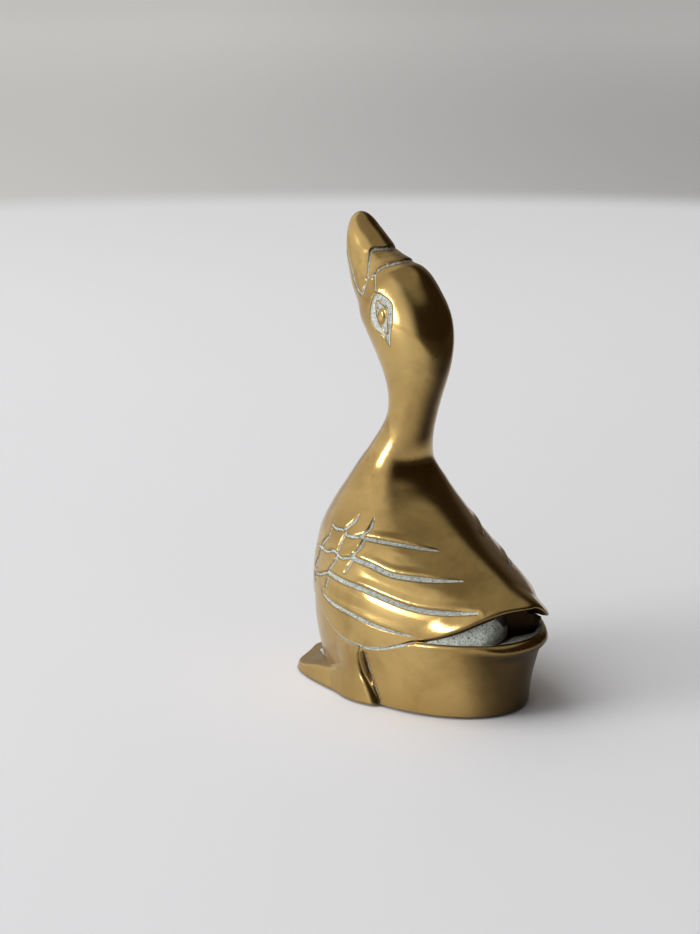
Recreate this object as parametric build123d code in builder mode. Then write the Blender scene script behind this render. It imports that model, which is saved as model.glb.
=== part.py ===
from build123d import *
import os

# A small hollow brass duck, looking up, made of castings brazed together.
# Millimetres. The duck faces -Y, its left side is +X, and the origin is the middle of its flat underside.

# Overall sizes
body_length = 50.0
body_width = 35.2
neck_root_height = 42.0
head_rise = 45.4
head_reach = 17.6
head_width = 15.0
head_depth = 16.7

# Body casting walls
skirt_wall = 2.5
back_wall = 4.8
lip_wall = 1.6
lip_clearance = 0.15
lip_height = 9.3
lip_root_depth = 2.7
belly_wall = 4.1
ceiling_wall = 3.5
core_drop = 5.0

# Belly, rim and wing edge
pad_showing = 0.4
belly_overlap = 1.2
rim_rise = 0.9

# Joint at the neck
spigot_radius = 3.0
spigot_length = 5.0
spigot_clearance = 0.05
braze_thickness = 0.5

# Closing plate and pad
opening_inset = 2.2
plate_thickness = 1.2
plate_clearance = 0.1
pad_thickness = 0.8
pad_inset = 0.3

# Legs and feet
leg_set_in = 2.2
leg_reach = 4.7
leg_length = 11.8
leg_width = 6.5
leg_overlap = 1.4
leg_lean = 0.5
leg_seat_depth = 1.2
toe_overhang = 1.5
toe_set_in = 4.4
foot_width = 8.6
foot_root_width = 11.2
foot_root_set_in = 3.9
foot_root_reach = 9.0
foot_height = 2.4
foot_root_height = 4.6
foot_side_slope = 0.7
foot_rounding = 0.9
toe_rounding = 2.4

# Eyes, with their place as shares of head_rise above the neck root and of head_reach
eye_rise_share = 0.632
eye_reach_share = 0.267
eye_length = 4.6
eye_width = 2.6
eye_depth = 1.6
eye_rounding = 0.3

# Cuts along the edges of the wing's long feathers
groove_radius = 0.95
groove_depth = 0.5
groove_start_depth = 0.3
groove_end_lift = 0.15

# One overrun for every cut that passes through a surface
overrun = 40.0

# Upper body: height as a share of neck_root_height, front, rear and widest place as shares of
# body_length, half width as a share of body_width, and the power of the rear half's curve
upper_section_shares = [
    (0.238, -0.472, 0.580, -0.020, 0.486, 1.50),
    (0.333, -0.474, 0.570, -0.020, 0.492, 1.50),
    (0.429, -0.472, 0.552, -0.020, 0.500, 1.50),
    (0.476, -0.470, 0.528, -0.030, 0.500, 1.50),
    (0.524, -0.466, 0.492, -0.040, 0.494, 1.50),
    (0.583, -0.460, 0.400, -0.060, 0.477, 1.55),
    (0.643, -0.448, 0.310, -0.084, 0.455, 1.60),
    (0.714, -0.428, 0.212, -0.120, 0.420, 1.70),
    (0.786, -0.398, 0.136, -0.140, 0.375, 1.80),
    (0.857, -0.362, 0.068, -0.150, 0.324, 1.90),
    (0.929, -0.322, 0.016, -0.153, 0.273, 2.00),
    (1.000, -0.284, -0.020, -0.152, 0.222, 2.00),
]

# Belly: height above the pad as a share of the belly's own, then as above
belly_section_shares = [
    (0.000, -0.428, 0.447, 0.008, 0.426),
    (0.260, -0.449, 0.456, 0.004, 0.443),
    (0.545, -0.470, 0.482, 0.006, 0.468),
    (0.850, -0.476, 0.516, 0.010, 0.486),
    (1.000, -0.472, 0.530, 0.010, 0.492),
]

# Neck and head: place forward of the origin as a share of head_reach, height above the neck root
# as a share of head_rise, lean in degrees, depth and width as shares of the head's largest
head_section_shares = [
    (0.372, 0.066, 0, 0.671, 0.840),
    (0.295, 0.132, 0, 0.599, 0.693),
    (0.205, 0.220, 0, 0.539, 0.640),
    (0.168, 0.330, -4, 0.671, 0.667),
    (0.180, 0.430, -2, 0.874, 0.773),
    (0.216, 0.518, 4, 0.982, 0.920),
    (0.286, 0.595, 14, 1.000, 1.000),
    (0.394, 0.662, 24, 0.946, 0.987),
    (0.502, 0.721, 32, 0.850, 0.907),
    (0.650, 0.760, 36, 0.749, 0.747),
    (0.774, 0.808, 34, 0.605, 0.640),
    (0.866, 0.870, 30, 0.497, 0.547),
    (0.933, 0.930, 28, 0.329, 0.467),
    (0.977, 0.976, 28, 0.204, 0.307),
    (0.991, 0.991, 28, 0.132, 0.200),
    (1.000, 1.000, 28, 0.048, 0.073),
]

# Wing edge seen from the side: place along the body and height, as shares of body_length and
# neck_root_height
wing_edge_shares = [
    (-0.270, 0.376), (-0.146, 0.302), (-0.072, 0.281), (0.004, 0.276), (0.070, 0.283), (0.134, 0.307),
]
wing_front_share = (-0.700, 0.405)
rim_start_share = (0.236, 0.350)
tail_edge_shares = [(0.302, 0.378), (0.416, 0.457), (0.470, 0.492), (0.560, 0.498)]

# Edges of the four long feathers of the left wing, as above, each from front to rear
feather_edge_shares = [
    [
        (-0.066, 0.738), (-0.030, 0.735), (0.024, 0.729), (0.090, 0.719), (0.144, 0.707), (0.184, 0.700),
    ],
    [
        (-0.088, 0.662), (-0.040, 0.646), (0.012, 0.636), (0.078, 0.614), (0.164, 0.605), (0.246, 0.600),
        (0.306, 0.600),
    ],
    [
        (-0.192, 0.562), (-0.122, 0.550), (-0.024, 0.543), (0.088, 0.517), (0.218, 0.486), (0.324, 0.483),
        (0.400, 0.488),
    ],
    [
        (-0.236, 0.457), (-0.180, 0.438), (-0.128, 0.424), (-0.016, 0.410), (0.052, 0.393), (0.134, 0.379),
        (0.208, 0.374),
    ],
]

# Half of a superellipse has this many points between its ends
curve_points = 7


def side_view(share):
    """A place in the side view, from shares of the body's length and height."""
    return (body_length * share[0], neck_root_height * share[1])


# The wing edge runs back to where the rim leaves it, and both cuts share that stretch
front_point = side_view(wing_front_share)
rim_start = side_view(rim_start_share)
wing_points = [side_view(share) for share in wing_edge_shares]
tail_points = [side_view(share) for share in tail_edge_shares]
tail_end = (body_length, tail_points[-1][1])
rim_end = (body_length, rim_start[1] + rim_rise)
rim_slope = (rim_start[0] - wing_points[-1][0], rim_start[1] - wing_points[-1][1])

# Levels that follow the wing edge, the rim and the neck root
belly_height = front_point[1] + belly_overlap - pad_showing
leg_height = min(place[1] for place in wing_points) + leg_overlap - pad_showing
lip_top = rim_start[1] + lip_height
lip_root = rim_start[1] - lip_root_depth
hollow_ceiling = neck_root_height - spigot_length - ceiling_wall
core_floor = neck_root_height * upper_section_shares[0][0] - core_drop


def rear_curve(widest, rear, half_width, power):
    """Points of the rear half of a section, from the left side round to the right."""
    points = []
    for step in range(curve_points + 2):
        turn = 180 * step / (curve_points + 1)
        across = Vector(1, 0).rotate(Axis.Z, turn)
        side = 1 if across.X > 0 else -1
        x = 0 if 2 * step == curve_points + 1 else side * abs(across.X) ** (2 / power)
        y = abs(across.Y) ** (2 / power) if 0 < step <= curve_points else 0
        points.append((half_width * x, widest + (rear - widest) * y))
    return points


def egg_section(height, front, rear, widest, half_width, power=2.0):
    """A level section, round in front and drawn out to the rear."""
    with BuildSketch(Plane.XY.offset(height)) as section:
        with BuildLine():
            EllipticalCenterArc((0, widest), half_width, widest - front, 180, arc_size=180)
            Spline(rear_curve(widest, rear, half_width, power), tangents=[(0, 1), (0, -1)])
        make_face()
    return section.sketch


def upper_section(shares, front_wall=0.0, rear_wall=0.0, height=None, power=None):
    """One section of the upper body, drawn in by its walls."""
    height_share, front, rear, widest, half, own_power = shares
    return egg_section(
        neck_root_height * height_share if height is None else height,
        body_length * front + front_wall,
        body_length * rear - rear_wall,
        body_length * widest,
        body_width * half - front_wall,
        own_power if power is None else power,
    )


def belly_section(shares, wall=0.0, height=None):
    """One section of the belly, drawn in by a wall."""
    height_share, front, rear, widest, half = shares
    return egg_section(
        pad_showing + belly_height * height_share if height is None else height,
        body_length * front + wall,
        body_length * rear - wall,
        body_length * widest,
        body_width * half - wall,
    )


# Everything below the wing edge
with BuildPart() as under_wing:
    with BuildSketch(Plane.YZ):
        with BuildLine():
            Spline([front_point] + wing_points + [rim_start], tangents=[(1, 0), rim_slope])
            Spline([rim_start] + tail_points, tangents=[rim_slope, (1, 0)])
            Polyline(
                tail_points[-1], tail_end, (body_length, -overrun),
                (front_point[0], -overrun), front_point,
            )
        make_face()
    extrude(amount=overrun, both=True)

# Everything above the wing edge in front and above the rim behind
with BuildPart() as over_rim:
    with BuildSketch(Plane.YZ):
        with BuildLine():
            Spline([front_point] + wing_points + [rim_start], tangents=[(1, 0), rim_slope])
            Polyline(
                rim_start, rim_end, (body_length, neck_root_height + overrun),
                (front_point[0], neck_root_height + overrun), front_point,
            )
        make_face()
    extrude(amount=overrun, both=True)

# The hollow and both faces of the lip are the same core, drawn in by different amounts
core_shares = upper_section_shares[:10]


def core(drawn_in, floor, ceiling):
    """The inside of the upper body between two levels, drawn in all round."""
    walls = (skirt_wall + drawn_in, back_wall + drawn_in)
    with BuildPart() as block:
        loft(
            [upper_section(core_shares[0], *walls, core_floor, 2.0)]
            + [upper_section(shares, *walls, power=2.0) for shares in core_shares]
        )
        split(bisect_by=Plane.XY.offset(floor), keep=Keep.TOP)
        split(bisect_by=Plane.XY.offset(ceiling), keep=Keep.BOTTOM)
    return block.part


# Neck root, shared by the body, the braze and the head
neck_front = body_length * upper_section_shares[-1][1]
neck_rear = body_length * upper_section_shares[-1][2]
neck_half_depth = (neck_rear - neck_front) / 2
neck_half_width = body_width * upper_section_shares[-1][4]
neck_middle = (neck_front + neck_rear) / 2
neck_place = Plane((0, neck_middle, neck_root_height))

# Outside of the upper body, before it is cut
with BuildPart() as body_skin:
    loft([upper_section(shares) for shares in upper_section_shares])


def feather_groove(shares):
    """A round-bottomed cut into the left wing that runs out at its rear end."""
    depths = [groove_depth] * len(shares)
    depths[0], depths[-1] = groove_start_depth, -groove_end_lift
    points = []
    for share, depth in zip(shares, depths):
        along, height = side_view(share)
        across = Axis((body_width, along, height), (-1, 0, 0))
        crossings = body_skin.part.find_intersection_points(across)
        place, facing = max(crossings, key=lambda crossing: crossing[0].X)
        outward = facing if facing.X > 0 else -facing
        points.append(place + outward * (groove_radius - depth))
    with BuildPart() as groove:
        with BuildLine() as path:
            Spline(points)
        with BuildSketch(Plane(path.line @ 0, z_dir=path.line % 0)):
            Circle(groove_radius)
        sweep(path=path.line)
    return groove.part


# Upper body with the wings, the back and the tail
with BuildPart() as upper_body_casting:
    add(body_skin.part)
    for shares in feather_edge_shares:
        groove = feather_groove(shares)
        add(groove, mode=Mode.SUBTRACT)
        add(mirror(groove, about=Plane.YZ, mode=Mode.PRIVATE), mode=Mode.SUBTRACT)
    add(core(0, core_floor, hollow_ceiling), mode=Mode.SUBTRACT)
    add(under_wing.part, mode=Mode.SUBTRACT)
    with BuildSketch(neck_place):
        Circle(spigot_radius + spigot_clearance)
    extrude(amount=-(spigot_length + spigot_clearance), mode=Mode.SUBTRACT)
upper_body_casting.part.label = "upper_body_casting"

# Braze filler between the neck root and the head casting
with BuildPart() as neck_braze_ring:
    with BuildSketch(neck_place):
        Ellipse(neck_half_width, neck_half_depth)
        Circle(spigot_radius + spigot_clearance, mode=Mode.SUBTRACT)
    extrude(amount=braze_thickness)
neck_braze_ring.part.label = "neck_braze_ring"


def head_section(shares):
    """A leaning section of the neck, head or bill."""
    reach, rise, lean, depth, width = shares
    middle = (0, -head_reach * reach, neck_root_height + head_rise * rise)
    facing = Vector(0, 0, 1).rotate(Axis.X, lean)
    with BuildSketch(Plane(middle, x_dir=(1, 0, 0), z_dir=facing)) as section:
        Ellipse(head_width * width / 2, head_depth * depth / 2)
    return section.sketch


# Head, neck and bill in one casting, with its spigot in the body's socket
head_place = neck_place.offset(braze_thickness)
with BuildSketch(head_place) as neck_foot:
    Ellipse(neck_half_width, neck_half_depth)
eye_middle = (head_width / 2, -head_reach * eye_reach_share, neck_root_height + head_rise * eye_rise_share)
eye_plane = Plane(eye_middle, x_dir=(0, 0, 1), z_dir=(1, 0, 0))
with BuildPart() as eye:
    with BuildSketch(eye_plane):
        Ellipse(eye_length / 2, eye_width / 2)
    extrude(amount=-eye_depth)
    fillet(eye.edges().group_by(Axis.X)[-1], eye_rounding)
with BuildPart() as head_and_neck_casting:
    loft([neck_foot.sketch] + [head_section(shares) for shares in head_section_shares])
    add(eye.part)
    add(mirror(eye.part, about=Plane.YZ, mode=Mode.PRIVATE))
    with BuildSketch(head_place):
        Circle(spigot_radius)
    extrude(amount=-(spigot_length + braze_thickness))
head_and_neck_casting.part.label = "head_and_neck_casting"

# Belly outline, and the same drawn in to the floor of the leg seats
with BuildPart() as belly:
    loft([belly_section(shares) for shares in belly_section_shares])
with BuildPart() as leg_seat:
    loft([belly_section(shares, leg_seat_depth) for shares in belly_section_shares])

# Left leg and foot before they are fitted to the belly, placed from the belly's lower edge
leg_middle = body_width * belly_section_shares[0][4] - leg_set_in
foot_reach = toe_overhang - body_length * belly_section_shares[0][1]
leg_floor = Plane((leg_middle, -leg_reach, pad_showing))
with BuildSketch(leg_floor) as leg_foot_section:
    Ellipse(leg_width / 2, leg_length / 2)
with BuildSketch(leg_floor.offset(leg_height / 2)) as leg_middle_section:
    Ellipse(leg_width / 2, leg_length / 2)
with BuildSketch(leg_floor.offset(leg_height)) as leg_top_section:
    with Locations((leg_lean, 0)):
        Ellipse(leg_width / 2, leg_length / 2)


def foot_section(middle, width, reach, height):
    """A section across the foot, flat below and drawn in towards its top."""
    with BuildSketch(Plane((middle, -reach, pad_showing), x_dir=(1, 0, 0), z_dir=(0, -1, 0))) as section:
        with BuildLine():
            Polyline(
                (-width / 2, 0), (width / 2, 0), (width / 2 - foot_side_slope, height),
                (-width / 2 + foot_side_slope, height), close=True,
            )
        make_face()
    return section.sketch


with BuildPart() as foot_web:
    loft(
        [
            foot_section(leg_middle - foot_root_set_in, foot_root_width, foot_root_reach, foot_root_height),
            foot_section(leg_middle - toe_set_in, foot_width, foot_reach, foot_height),
        ]
    )
    fillet(foot_web.faces().sort_by(Axis.Y)[0].edges().filter_by(Axis.X, reverse=True), toe_rounding)
    fillet(foot_web.faces().sort_by(Axis.Z)[-1].edges(), foot_rounding)
with BuildPart() as leg_blank:
    loft([leg_foot_section.sketch, leg_middle_section.sketch, leg_top_section.sketch])
    add(foot_web.part)
    add(over_rim.part, mode=Mode.SUBTRACT)

# Legs and feet, seated in the belly's wall
with BuildPart() as left_leg_and_foot:
    add(leg_blank.part)
    add(leg_seat.part, mode=Mode.SUBTRACT)
left_leg_and_foot.part.label = "left_leg_and_foot"
with BuildPart() as right_leg_and_foot:
    add(mirror(left_leg_and_foot.part, about=Plane.YZ, mode=Mode.PRIVATE))
right_leg_and_foot.part.label = "right_leg_and_foot"

# Lower body: belly, rim, and the lip that stands up inside the upper body
plate_top = pad_thickness + plate_thickness
with BuildPart() as lower_body_casting:
    add(belly.part)
    add(over_rim.part, mode=Mode.SUBTRACT)
    add(core(lip_clearance, lip_root, lip_top))
    add(core(lip_clearance + lip_wall, lip_root, lip_top), mode=Mode.SUBTRACT)
    loft(
        [belly_section(belly_section_shares[0], belly_wall, plate_top)]
        + [belly_section(shares, belly_wall) for shares in belly_section_shares[1:-1]],
        mode=Mode.SUBTRACT,
    )
    add(belly_section(belly_section_shares[0], opening_inset, plate_top))
    extrude(amount=-plate_top, mode=Mode.SUBTRACT)
    add(left_leg_and_foot.part, mode=Mode.SUBTRACT)
    add(right_leg_and_foot.part, mode=Mode.SUBTRACT)
lower_body_casting.part.label = "lower_body_casting"

# Sheet that closes the hollow, soldered up into the belly's opening
with BuildPart() as base_plate:
    add(belly_section(belly_section_shares[0], opening_inset + plate_clearance, pad_thickness))
    extrude(amount=plate_thickness)
base_plate.part.label = "base_plate"

# Pad that the duck stands on
with BuildPart() as felt_pad:
    add(belly_section(belly_section_shares[0], opening_inset + pad_inset, 0))
    extrude(amount=pad_thickness)
felt_pad.part.label = "felt_pad"

pieces = [
    upper_body_casting, lower_body_casting, head_and_neck_casting, neck_braze_ring,
    left_leg_and_foot, right_leg_and_foot, base_plate, felt_pad,
]
os.makedirs("parts", exist_ok=True)
for piece in pieces:
    print(piece.part.label, piece.part.is_valid, round(piece.part.volume, 1))
    export_step(piece.part, f"parts/{piece.part.label}.step")
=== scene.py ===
import math

import bmesh
import bpy
import numpy as np
from mathutils import Matrix, Vector
from mathutils.bvhtree import BVHTree


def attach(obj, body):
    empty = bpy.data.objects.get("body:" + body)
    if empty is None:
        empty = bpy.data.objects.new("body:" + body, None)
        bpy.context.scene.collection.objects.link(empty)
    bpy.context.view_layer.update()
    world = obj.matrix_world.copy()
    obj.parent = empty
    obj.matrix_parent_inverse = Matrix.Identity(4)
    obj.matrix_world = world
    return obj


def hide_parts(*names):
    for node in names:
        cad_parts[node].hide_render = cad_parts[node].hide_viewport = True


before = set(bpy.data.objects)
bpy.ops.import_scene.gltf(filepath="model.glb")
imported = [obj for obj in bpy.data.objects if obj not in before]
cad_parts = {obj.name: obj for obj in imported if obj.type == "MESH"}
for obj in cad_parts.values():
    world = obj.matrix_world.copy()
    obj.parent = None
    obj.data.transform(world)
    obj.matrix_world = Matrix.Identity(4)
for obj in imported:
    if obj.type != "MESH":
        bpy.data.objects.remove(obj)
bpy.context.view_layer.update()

# Shapes are worked out in millimetres and made into meshes in metres.
# The duck faces -Y, its left side is +X.
mm = 0.001

# The body's level sections: height, front, rear, widest place, half width, power of the rear's curve
bodySections = [
    (10.0, -23.6, 29.0, -1.0, 17.1, 1.50), (14.0, -23.7, 28.5, -1.0, 17.3, 1.50),
    (18.0, -23.6, 27.6, -1.0, 17.6, 1.50), (20.0, -23.5, 26.4, -1.5, 17.6, 1.50),
    (22.0, -23.3, 24.6, -2.0, 17.4, 1.50), (24.5, -23.0, 20.0, -3.0, 16.8, 1.55),
    (27.0, -22.4, 15.5, -4.2, 16.0, 1.60), (30.0, -21.4, 10.6, -6.0, 14.8, 1.70),
    (33.0, -19.9, 6.8, -7.0, 13.2, 1.80), (36.0, -18.1, 3.4, -7.5, 11.4, 1.90),
    (39.0, -16.1, 0.8, -7.65, 9.6, 2.00), (42.0, -14.2, -1.0, -7.6, 7.8, 2.00),
]
sharpRear, plainRear = 1.5, 2.0  # the least and the greatest power of the rear's curve
# The neck's and head's leaning sections: place along Y, height, lean, half depth, half width
headSections = [
    (-6.54, 45.0, 0, 5.60, 6.30), (-5.20, 48.0, 0, 5.00, 5.20), (-3.60, 52.0, 0, 4.50, 4.80),
    (-2.96, 57.0, -4, 5.60, 5.00), (-3.17, 61.5, -2, 7.30, 5.80), (-3.81, 65.5, 4, 8.20, 6.90),
    (-5.03, 69.0, 14, 8.35, 7.50), (-6.94, 72.05, 24, 7.90, 7.40), (-8.83, 74.75, 32, 7.10, 6.80),
    (-11.44, 76.5, 36, 6.25, 5.60), (-13.62, 78.7, 34, 5.05, 4.80), (-15.25, 81.5, 30, 4.15, 4.10),
    (-16.42, 84.2, 28, 2.75, 3.50), (-17.2, 86.3, 28, 1.70, 2.30), (-17.62, 87.5, 28, 0.0, 0.0),
]
# The belly's level sections: height, front, rear, widest place, half width
bellySections = [
    (0.4, -21.4, 22.35, 0.4, 15.0), (5.0, -22.45, 22.8, 0.2, 15.6), (10.1, -23.5, 24.1, 0.3, 16.5),
    (15.5, -23.8, 25.8, 0.5, 17.1), (18.2, -23.6, 26.5, 0.5, 17.3),
]
underside = bellySections[0][0]  # the metal ends here, and the pad reaches down to the table
# The wing's lower edge seen from the side: place along Y, height
wingEdge = [
    (-35.0, 17.0), (-13.5, 15.8), (-7.3, 12.7), (-3.6, 11.8), (0.2, 11.6), (3.5, 11.9), (6.7, 12.9),
    (11.8, 14.7), (15.1, 15.9), (20.8, 19.2), (23.5, 20.7), (28.0, 20.9), (50.0, 20.9),
]
rimStart, rimEnd = (11.8, 14.7), (50.0, 15.6)
searchSteps = 30  # halvings or repeats that settle a ring's height


# Weights that turn the values at the knots into those of a smooth curve at the samples
def splineWeights(knots, samples, closed=False):
    knots, samples = np.asarray(knots, float), np.asarray(samples, float)
    count, steps = len(knots), np.diff(knots)
    bends, turns = np.eye(count), np.zeros((count, count))
    for k in range(1, count - 1):
        bends[k, k - 1:k + 2] = steps[k - 1], 2 * (steps[k - 1] + steps[k]), steps[k]
        turns[k, k - 1:k + 2] = 6 / steps[k - 1], -6 / steps[k - 1] - 6 / steps[k], 6 / steps[k]
    if closed:
        bends[0, [0, 1, -2]] = 2 * (steps[-1] + steps[0]), steps[0], steps[-1]
        turns[0, [0, 1, -2]] = -6 / steps[-1] - 6 / steps[0], 6 / steps[0], 6 / steps[-1]
        bends[-1, 0] = -1
    second = np.linalg.solve(bends, turns)
    cell = np.clip(np.searchsorted(knots, samples) - 1, 0, count - 2)
    width = steps[cell]
    a = (knots[cell + 1] - samples) / width
    b = 1 - a
    unit = np.eye(count)
    straight = a[:, None] * unit[cell] + b[:, None] * unit[cell + 1]
    bent = (a ** 3 - a)[:, None] * second[cell] + (b ** 3 - b)[:, None] * second[cell + 1]
    return straight + bent * (width ** 2 / 6)[:, None]


def smooth(value, low, high):
    t = np.clip((value - low) / (high - low), 0, 1)
    return t * t * (3 - 2 * t)


# Body, neck and head as one run of sections, so that the reflections run on from piece to piece
def stemTable():
    rows = [(wide, z, 0, (wide - front) ** 2, (rear - wide) ** 2, half ** 2, power)
            for z, front, rear, wide, half, power in bodySections]
    rows += [(y, z, lean, depth ** 2, depth ** 2, half ** 2, plainRear)
             for y, z, lean, depth, half in headSections]
    rows = np.array(rows, float)
    gaps = np.hypot(np.diff(rows[:, 0]), np.diff(rows[:, 1]))
    return np.concatenate([[0], np.cumsum(gaps)]), rows


stemPlaces, stemRows = stemTable()
knotTurns = np.linspace(0, 360, 17)


# Points of the stem at places along it and turns round it (0 left, 90 rear, 270 front), drawn in by walls
def stemPoints(place, turn, frontWall=0.0, rearWall=0.0, power=None):
    shape = np.broadcast(place, turn).shape
    place = np.broadcast_to(place, shape).ravel()
    turn = np.mod(np.broadcast_to(turn, shape).ravel(), 360)
    y, z, lean, front, rear, half, bend = (splineWeights(stemPlaces, place) @ stemRows).T
    front, rear, half = (np.sqrt(np.maximum(v, 0)) for v in (front, rear, half))
    front, rear, half = front - frontWall, rear - rearWall, half - frontWall
    bend = np.clip(bend, sharpRear, plainRear) if power is None else np.full_like(bend, power)
    cosine = np.round(np.cos(np.radians(knotTurns)), 9)
    sine = np.round(np.sin(np.radians(knotTurns)), 9)
    share = 2 / bend[:, None]
    across = np.where(sine > 0, np.sign(cosine) * np.abs(cosine) ** share, cosine) * half[:, None]
    along = np.where(sine > 0, np.abs(sine) ** share * rear[:, None], sine * front[:, None])
    weights = splineWeights(knotTurns, turn, closed=True)
    x, depth = (across * weights).sum(1), (along * weights).sum(1)
    tilt = np.radians(lean)
    return np.stack([x, y + depth * np.cos(tilt), z + depth * np.sin(tilt)], 1).reshape(shape + (3,))


bodyTopPlace = stemPlaces[len(bodySections) - 1]
bodyFine = np.linspace(0, bodyTopPlace, 400)
bodyFineHeights = splineWeights(stemPlaces, bodyFine) @ stemRows[:, 1]


def placeAtHeight(z):
    return np.interp(z, bodyFineHeights, bodyFine)


# Points of the belly at heights and turns, drawn in by a wall
def bellyPoints(height, turn, wall=0.0):
    shape = np.broadcast(height, turn).shape
    height = np.broadcast_to(height, shape).ravel()
    turn = np.radians(np.broadcast_to(turn, shape).ravel())
    sections = np.array(bellySections)
    front, rear, wide, half = (splineWeights(sections[:, 0], height) @ sections[:, 1:]).T
    sine = np.sin(turn)
    depth = np.where(sine > 0, rear - wide - wall, wide - front - wall)
    return np.stack([(half - wall) * np.cos(turn), wide + depth * sine, height], 1).reshape(shape + (3,))


# The tail's right corner hangs lower than its left one
tailDroop = {"depth": 3.0, "acrossRun": (0.0, -6.0), "alongRun": (14.0, 22.0)}


def edgeHeight(y, x=0.0):
    line, d = np.array(wingEdge), tailDroop
    y = np.asarray(y, float)
    level = (splineWeights(line[:, 0], y.ravel()) @ line[:, 1]).reshape(y.shape)
    return level - d["depth"] * smooth(x, *d["acrossRun"]) * smooth(y, *d["alongRun"])


def rimHeight(y):
    slope = (rimEnd[1] - rimStart[1]) / (rimEnd[0] - rimStart[0])
    return np.where(y < rimStart[0], edgeHeight(y), rimStart[1] + slope * (y - rimStart[0]))


# Turns that share a ring into equal lengths, from the rear's middle round, so both sides are alike
def evenTurns(ringPoints, count):
    fine = np.linspace(90, 450, 1441)
    ring = ringPoints(fine)
    run = np.concatenate([[0], np.cumsum(np.linalg.norm(np.diff(ring, axis=0), axis=1))])
    return np.interp(np.arange(count) / count * run[-1], run, fine)


# A new object in the scene
def inScene(name, data):
    piece = bpy.data.objects.new(name, data)
    bpy.context.scene.collection.objects.link(piece)
    return piece


# A mesh from rows of points round a closed ring: loops makes the rows a closed band, caps closes its ends
def ringMesh(name, rows, loops=False, caps=(False, False), fields=None):
    rows = [np.asarray(r, float) for r in rows]
    count, columns = len(rows), len(rows[0])
    points = np.concatenate(rows)
    index = np.arange(count * columns).reshape(count, columns)
    nextIndex = np.roll(index, -1, axis=1)
    last = count if loops else count - 1
    above = np.roll(index, -1, axis=0)[:last]
    aboveNext = np.roll(nextIndex, -1, axis=0)[:last]
    faces = np.stack([index[:last], nextIndex[:last], aboveNext, above], -1).reshape(-1, 4).tolist()
    extra = []
    for closed, row in zip(caps, (0, count - 1)):
        if closed:
            centre = len(points) + len(extra)
            extra.append(rows[row].mean(0))
            faces += [(int(a), int(b), centre) for a, b in zip(index[row], nextIndex[row])]
    if extra:
        points = np.concatenate([points, np.array(extra)])
    mesh = bpy.data.meshes.new(name)
    mesh.from_pydata((points * mm).tolist(), [], faces)
    for field, values in (fields or {}).items():
        store = mesh.attributes.new(field, "FLOAT", "POINT")
        flat = np.zeros(len(points), np.float32)
        flat[:count * columns] = np.concatenate(values)
        store.data.foreach_set("value", flat)
    return tidyMesh(inScene(name, mesh))


# Rings of points taken one by one, each with the residue, and the tarnish and painted shade, on it
class RingRows:
    def __init__(self, columns):
        self.columns = columns
        self.points, self.residue, self.tarnish = [], [], []

    def take(self, row, residue=0.0, tarnish=0.0):
        self.points.append(row)
        self.residue.append(np.broadcast_to(residue, self.columns))
        self.tarnish.append(np.broadcast_to(tarnish, self.columns))

    def build(self, name, **ends):
        return ringMesh(name, self.points, fields={"residue": self.residue, "tarnish": self.tarnish}, **ends)


meshTidy = {"mergeWithin": 0.002, "thinnest": 0.001, "sharpAngle": 50, "latticeSharpAngle": 60}


# Doubles are merged and the faces turned outwards
def tidyMesh(piece, sharpAngle=meshTidy["sharpAngle"]):
    work = bmesh.new()
    work.from_mesh(piece.data)
    bmesh.ops.remove_doubles(work, verts=work.verts, dist=meshTidy["mergeWithin"] * mm)
    bmesh.ops.dissolve_degenerate(work, edges=work.edges, dist=meshTidy["thinnest"] * mm)
    bmesh.ops.recalc_face_normals(work, faces=work.faces)
    work.to_mesh(piece.data)
    work.free()
    piece.data.polygons.foreach_set("use_smooth", [True] * len(piece.data.polygons))
    piece.data.set_sharp_from_angle(angle=math.radians(sharpAngle))
    return piece


# Normals of a grid of points that closes round its rows
def gridNormals(grid):
    around = np.roll(grid, -1, axis=1) - np.roll(grid, 1, axis=1)
    up = np.gradient(grid, axis=0)
    normals = np.cross(around, up)
    length = np.linalg.norm(normals, axis=2, keepdims=True)
    return normals / np.maximum(length, 1e-9)


# Node trees, for shading and for geometry alike: a wire is one output socket, with arithmetic
class Wire:
    def __init__(self, desk, socket):
        self.desk, self.socket = desk, socket

    def maths(self, operation, *others):
        sockets = dict(enumerate((self,) + others))
        return self.desk.add("ShaderNodeMath", {"operation": operation}, sockets)

    def __add__(self, other):
        return self.maths("ADD", other)

    def __sub__(self, other):
        return self.maths("SUBTRACT", other)

    def __mul__(self, other):
        return self.maths("MULTIPLY", other)

    def __truediv__(self, other):
        return self.maths("DIVIDE", other)

    def __rsub__(self, other):
        return self.desk.add("ShaderNodeMath", {"operation": "SUBTRACT"}, {0: other, 1: self})

    __radd__ = __add__
    __rmul__ = __mul__


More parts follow.
